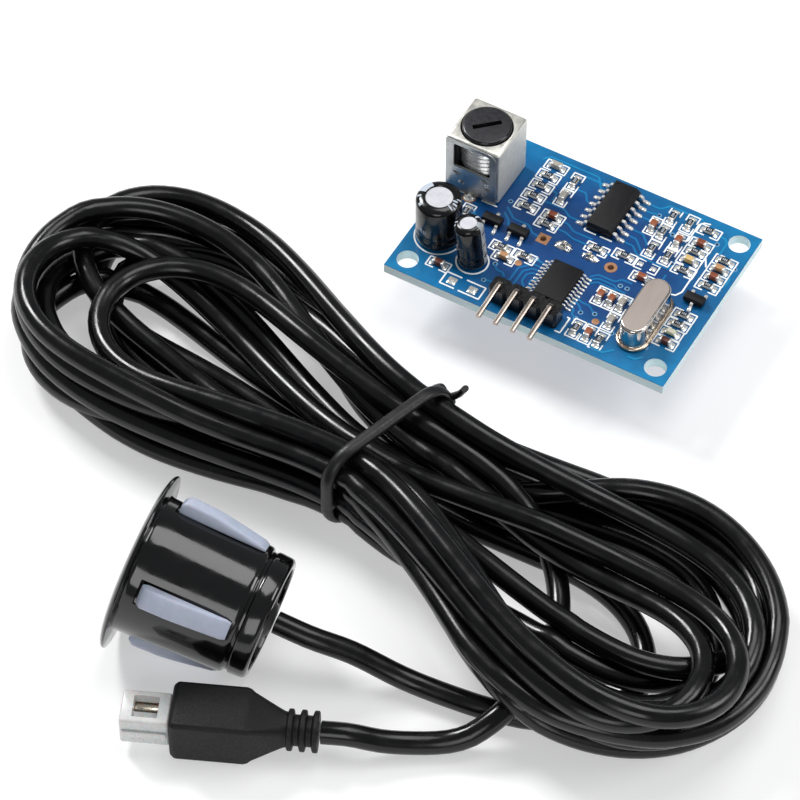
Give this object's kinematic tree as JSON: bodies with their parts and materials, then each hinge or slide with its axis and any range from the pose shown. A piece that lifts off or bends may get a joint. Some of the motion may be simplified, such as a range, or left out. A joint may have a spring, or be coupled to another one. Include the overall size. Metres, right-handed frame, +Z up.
{
  "type": "ultrasonic distance sensor",
  "caption": "Ultrasonic ranging module: blue driver board with tuning coil, chips and pin header, and a waterproof flanged probe on a tied hank of cable with a moulded plug.",
  "frame": {"origin": "on the supporting surface, under the middle of the board, at the underside of the plug socket", "axes": "+X along the board's long side, to the right seen from the header pins; +Y away from the header pins; +Z up"},
  "size_m": [0.1176, 0.1067, 0.0231],
  "materials": {
    "circuit_board": "satin solder mask, pale edge",
    "shield_tin": "tinned sheet, satin",
    "coil_plastic": "moulded",
    "ferrite": "fired ferrite",
    "copper": "enamelled copper",
    "core_black": "ground ferrite, glossy rim",
    "capacitor_sleeve": "heat-shrunk sleeve",
    "capacitor_rubber": "matte",
    "header_plastic": "satin",
    "header_pins": "tinned",
    "chip_epoxy": "moulded epoxy",
    "crystal_steel": "satin nickel",
    "capacitor_ceramic": "fired, tinned ends",
    "led_lens": "clear over white",
    "socket_nylon": "natural nylon",
    "contact_metal": "tinned",
    "probe_plastic": "high gloss",
    "diaphragm_aluminium": "black painted aluminium",
    "piezo_ceramic": "fired",
    "potting_rubber": "cast",
    "pad_silicone": "soft, pale grey",
    "cable_jacket": "glossy black jacket",
    "tie_rubber": "satin",
    "plug_plastic": "fine texture",
    "plug_nose_plastic": "natural nylon"
  },
  "bodies": {
    "driver_board": {"circuit_board": "circuit_board", "shield_can": "shield_tin", "coil_base": "coil_plastic", "coil_drum": "ferrite", "coil_winding": "copper", "large_capacitor_can": "capacitor_sleeve", "small_capacitor_can": "capacitor_sleeve", "large_capacitor_bung": "capacitor_rubber", "small_capacitor_bung": "capacitor_rubber", "header_block": "header_plastic", "header_pin_1": "header_pins", "header_pin_2": "header_pins", "header_pin_3": "header_pins", "header_pin_4": "header_pins", "amplifier_chip": "chip_epoxy", "controller_chip": "chip_epoxy", "drive_transistor_1": "chip_epoxy", "drive_transistor_2": "chip_epoxy", "voltage_regulator": "chip_epoxy", "crystal_cover": "crystal_steel", "crystal_base": "crystal_steel", "ceramic_capacitor_01": "capacitor_ceramic", "ceramic_capacitor_02": "capacitor_ceramic", "ceramic_capacitor_03": "capacitor_ceramic", "ceramic_capacitor_04": "capacitor_ceramic", "ceramic_capacitor_05": "capacitor_ceramic", "ceramic_capacitor_06": "capacitor_ceramic", "ceramic_capacitor_07": "capacitor_ceramic", "ceramic_capacitor_08": "capacitor_ceramic", "ceramic_capacitor_09": "capacitor_ceramic", "ceramic_capacitor_10": "capacitor_ceramic", "ceramic_capacitor_11": "capacitor_ceramic", "ceramic_capacitor_12": "capacitor_ceramic", "ceramic_capacitor_13": "capacitor_ceramic", "ceramic_capacitor_14": "capacitor_ceramic", "ceramic_capacitor_15": "capacitor_ceramic", "ceramic_capacitor_16": "capacitor_ceramic", "ceramic_capacitor_17": "capacitor_ceramic", "ceramic_capacitor_18": "capacitor_ceramic", "status_led": "led_lens", "socket_housing": "socket_nylon", "socket_contact_1": "contact_metal", "socket_contact_2": "contact_metal"},
    "tuning_core": {"tuning_core": "core_black"},
    "probe_lead": {"probe_housing": "probe_plastic", "probe_diaphragm": "diaphragm_aluminium", "probe_piezo": "piezo_ceramic", "probe_potting": "potting_rubber", "probe_pad_1": "pad_silicone", "probe_pad_2": "pad_silicone", "probe_pad_3": "pad_silicone", "probe_pad_4": "pad_silicone", "probe_cable": "cable_jacket", "plug_cable": "cable_jacket", "cable_hank": "cable_jacket", "hank_tie": "tie_rubber", "plug_body": "plug_plastic", "plug_nose": "plug_nose_plastic", "plug_contact_1": "contact_metal", "plug_contact_2": "contact_metal"}
  },
  "joints": [
    {"name": "tuning_core_turn", "type": "hinge", "parent": "driver_board", "child": "tuning_core", "pos_m": [-0.0168, 0.0061, 0.0138], "axis": [0, 0, 1], "range_deg": [-540, 540]},
    {"name": "lead_slide", "type": "slide", "parent": "driver_board", "child": "probe_lead", "axis": [0, -1, 0], "range_m": [0, 0.1]}
  ]
}
